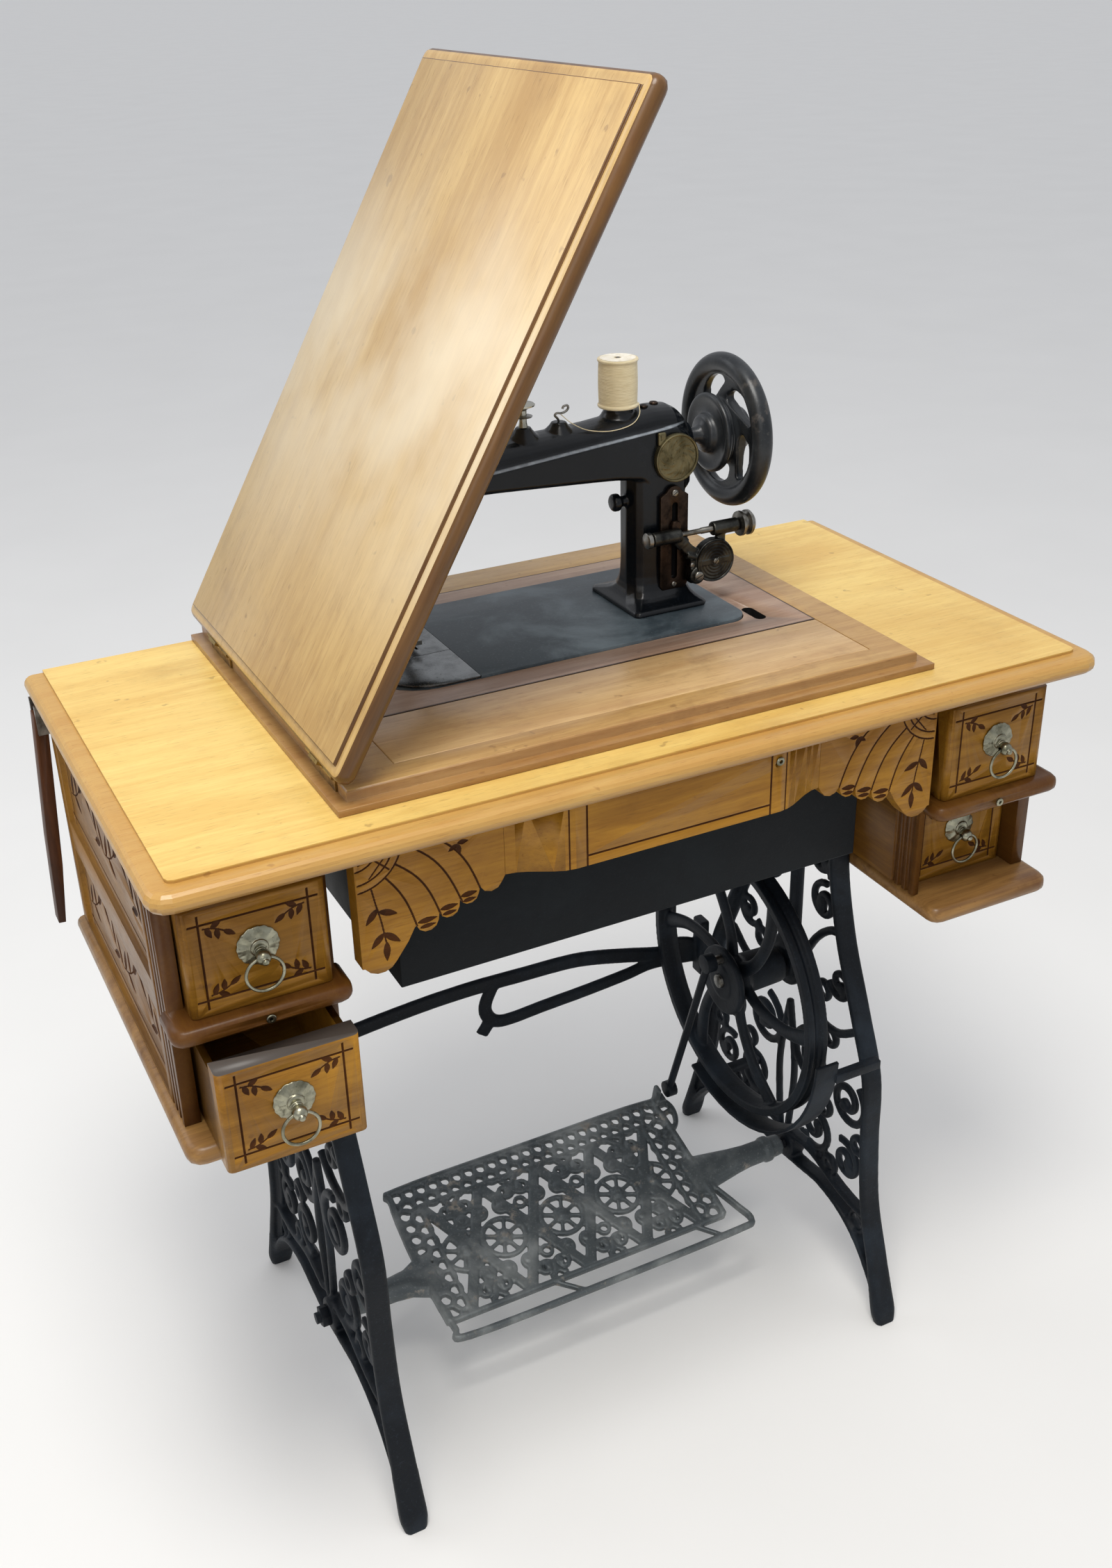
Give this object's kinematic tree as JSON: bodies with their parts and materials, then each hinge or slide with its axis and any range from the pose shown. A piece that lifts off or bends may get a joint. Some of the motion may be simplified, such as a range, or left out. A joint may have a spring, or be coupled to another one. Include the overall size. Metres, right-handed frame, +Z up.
{
  "type": "treadle sewing machine",
  "caption": "Household sewing machine on a drop-leaf drawer cabinet with cast-iron legs, foot treadle, drive wheel and hinged top leaf.",
  "frame": {"origin": "on the floor under the centre of the bounding box", "axes": "+X to the right of a person sewing, +Y away from them, +Z up"},
  "size_m": [0.9106, 0.4918, 1.3028],
  "materials": {
    "maple": "varnished, worn",
    "drawer_wood": "varnished, worn",
    "dark_wood": "dark stained",
    "red_board": "worn varnish",
    "iron": "japanned, dusty",
    "japan_black": "gloss japanned",
    "worn_black": "worn japan",
    "steel": "dull",
    "brown_steel": "browned",
    "bronze": "dull bronze tone",
    "nickel": "tarnished nickel plate",
    "brass": "tarnished",
    "thread": "cotton thread",
    "tin": "dark painted sheet"
  },
  "bodies": {
    "cabinet": {"table_top": "maple", "raised_rim": "maple", "machine_board": "red_board", "left_pedestal_case": "maple", "right_pedestal_case": "maple", "left_base_shelf": "maple", "right_base_shelf": "maple", "apron_bracket_left": "maple", "apron_bracket_right": "maple", "centre_apron": "maple", "dust_box": "tin", "leaf_support_hinge": "steel", "lid_hinge_front": "brass", "lid_hinge_back": "brass", "left_side_frame": "iron", "right_side_frame": "iron", "treadle_pivot_left": "steel", "treadle_pivot_right": "steel", "cross_brace": "iron", "wheel_axle": "steel", "belt_guard": "iron", "machine_bed": "japan_black", "needle_plate": "nickel", "arm_casting": "japan_black", "face_plate": "nickel", "presser_screw": "nickel", "thread_guide": "steel", "thread_nipper": "brass", "thread_tension": "nickel", "badge": "brass", "stitch_plate": "brown_steel"},
    "lid": {"lid_board": "maple", "lid_hinge_leaf_front": "brass", "lid_hinge_leaf_back": "brass"},
    "front_flap": {"front_flap": "maple"},
    "leaf_support": {"leaf_support": "dark_wood"},
    "handwheel": {"handwheel": "worn_black", "belt_pulley": "worn_black"},
    "drive_wheel": {"drive_wheel": "iron"},
    "treadle": {"treadle": "iron"},
    "pitman": {"pitman": "steel"},
    "needle_bar": {"needle_bar": "steel"},
    "presser_bar": {"presser_foot": "steel"},
    "take_up_lever": {"take_up_lever": "steel"},
    "spool": {"thread_spool": "thread"},
    "bobbin_winder": {"bobbin_winder": "bronze"},
    "winder_spindle": {"winder_spindle": "steel"},
    "slide_plate": {"slide_plate_front": "nickel"},
    "left_upper_drawer": {"left_upper_drawer": "drawer_wood", "left_upper_drawer_rosette": "nickel"},
    "left_upper_drawer_ring": {"left_upper_drawer_ring": "nickel"},
    "left_lower_drawer": {"left_lower_drawer": "drawer_wood", "left_lower_drawer_rosette": "nickel"},
    "left_lower_drawer_ring": {"left_lower_drawer_ring": "nickel"},
    "right_upper_drawer": {"right_upper_drawer": "drawer_wood", "right_upper_drawer_rosette": "nickel"},
    "right_upper_drawer_ring": {"right_upper_drawer_ring": "nickel"},
    "right_lower_drawer": {"right_lower_drawer": "drawer_wood", "right_lower_drawer_rosette": "nickel"},
    "right_lower_drawer_ring": {"right_lower_drawer_ring": "nickel"}
  },
  "joints": [
    {"name": "left_upper_drawer_slide", "type": "slide", "parent": "cabinet", "child": "left_upper_drawer", "axis": [0, -1, 0], "range_m": [0, 0.2]},
    {"name": "left_upper_drawer_ring_swing", "type": "hinge", "parent": "left_upper_drawer", "child": "left_upper_drawer_ring", "pos_m": [-0.35749, -0.18805, 0.6995], "axis": [-1, 0, 0], "range_deg": [0, 100]},
    {"name": "left_lower_drawer_slide", "type": "slide", "parent": "cabinet", "child": "left_lower_drawer", "axis": [0, -1, 0], "range_m": [-0.052, 0.15]},
    {"name": "left_lower_drawer_ring_swing", "type": "hinge", "parent": "left_lower_drawer", "child": "left_lower_drawer_ring", "pos_m": [-0.35749, -0.24005, 0.586], "axis": [-1, 0, 0], "range_deg": [0, 100]},
    {"name": "right_upper_drawer_slide", "type": "slide", "parent": "cabinet", "child": "right_upper_drawer", "axis": [0, -1, 0], "range_m": [0, 0.2]},
    {"name": "right_upper_drawer_ring_swing", "type": "hinge", "parent": "right_upper_drawer", "child": "right_upper_drawer_ring", "pos_m": [0.37101, -0.18805, 0.6995], "axis": [-1, 0, 0], "range_deg": [0, 100]},
    {"name": "right_lower_drawer_slide", "type": "slide", "parent": "cabinet", "child": "right_lower_drawer", "axis": [0, -1, 0], "range_m": [0, 0.24]},
    {"name": "right_lower_drawer_ring_swing", "type": "hinge", "parent": "right_lower_drawer", "child": "right_lower_drawer_ring", "pos_m": [0.37101, -0.14805, 0.586], "axis": [-1, 0, 0], "range_deg": [0, 100]},
    {"name": "lid_hinge", "type": "hinge", "parent": "cabinet", "child": "lid", "pos_m": [-0.27124, 0.02445, 0.809], "axis": [0, -1, 0], "range_deg": [0, 118]},
    {"name": "front_flap_hinge", "type": "hinge", "parent": "cabinet", "child": "front_flap", "pos_m": [0.00676, -0.12905, 0.8055], "axis": [1, 0, 0], "range_deg": [0, 85]},
    {"name": "leaf_support_swing", "type": "hinge", "parent": "cabinet", "child": "leaf_support", "pos_m": [-0.43684, 0.22245, 0.748], "axis": [0, 1, 0], "range_deg": [0, 86]},
    {"name": "handwheel_spin", "type": "hinge", "parent": "cabinet", "child": "handwheel", "pos_m": [0.22326, 0.08245, 0.963], "axis": [1, 0, 0], "continuous": true},
    {"name": "drive_wheel_spin", "type": "hinge", "parent": "cabinet", "child": "drive_wheel", "pos_m": [0.22176, 0.02945, 0.36], "axis": [1, 0, 0], "continuous": true},
    {"name": "treadle_rock", "type": "hinge", "parent": "cabinet", "child": "treadle", "pos_m": [0.00676, 0.00645, 0.116], "axis": [1, 0, 0], "range_deg": [-28, 0]},
    {"name": "needle_bar_slide", "type": "slide", "parent": "cabinet", "child": "needle_bar", "axis": [0, 0, 1], "range_m": [-0.015, 0.016]},
    {"name": "presser_bar_slide", "type": "slide", "parent": "cabinet", "child": "presser_bar", "axis": [0, 0, 1], "range_m": [-0.006, 0.001]},
    {"name": "take_up_swing", "type": "hinge", "parent": "cabinet", "child": "take_up_lever", "pos_m": [-0.11924, 0.06345, 0.948], "axis": [1, 0, 0], "range_deg": [0, 35]},
    {"name": "spool_spin", "type": "hinge", "parent": "cabinet", "child": "spool", "pos_m": [0.10576, 0.08445, 1.0015], "axis": [0, 0, 1], "continuous": true},
    {"name": "winder_swing", "type": "hinge", "parent": "cabinet", "child": "bobbin_winder", "pos_m": [0.14476, 0.05145, 0.835], "axis": [0, 1, 0], "range_deg": [0, 8]},
    {"name": "winder_spindle_spin", "type": "hinge", "parent": "bobbin_winder", "child": "winder_spindle", "pos_m": [0.16676, 0.04445, 0.8805], "axis": [1, 0, 0], "continuous": true},
    {"name": "slide_plate_slide", "type": "slide", "parent": "cabinet", "child": "slide_plate", "axis": [0, -1, 0], "range_m": [0, 0.045]},
    {"name": "pitman_swing", "type": "hinge", "parent": "treadle", "child": "pitman", "pos_m": [0.18496, 0.10822, 0.1625], "axis": [1, 0, 0], "range_deg": [-3, 33]}
  ]
}
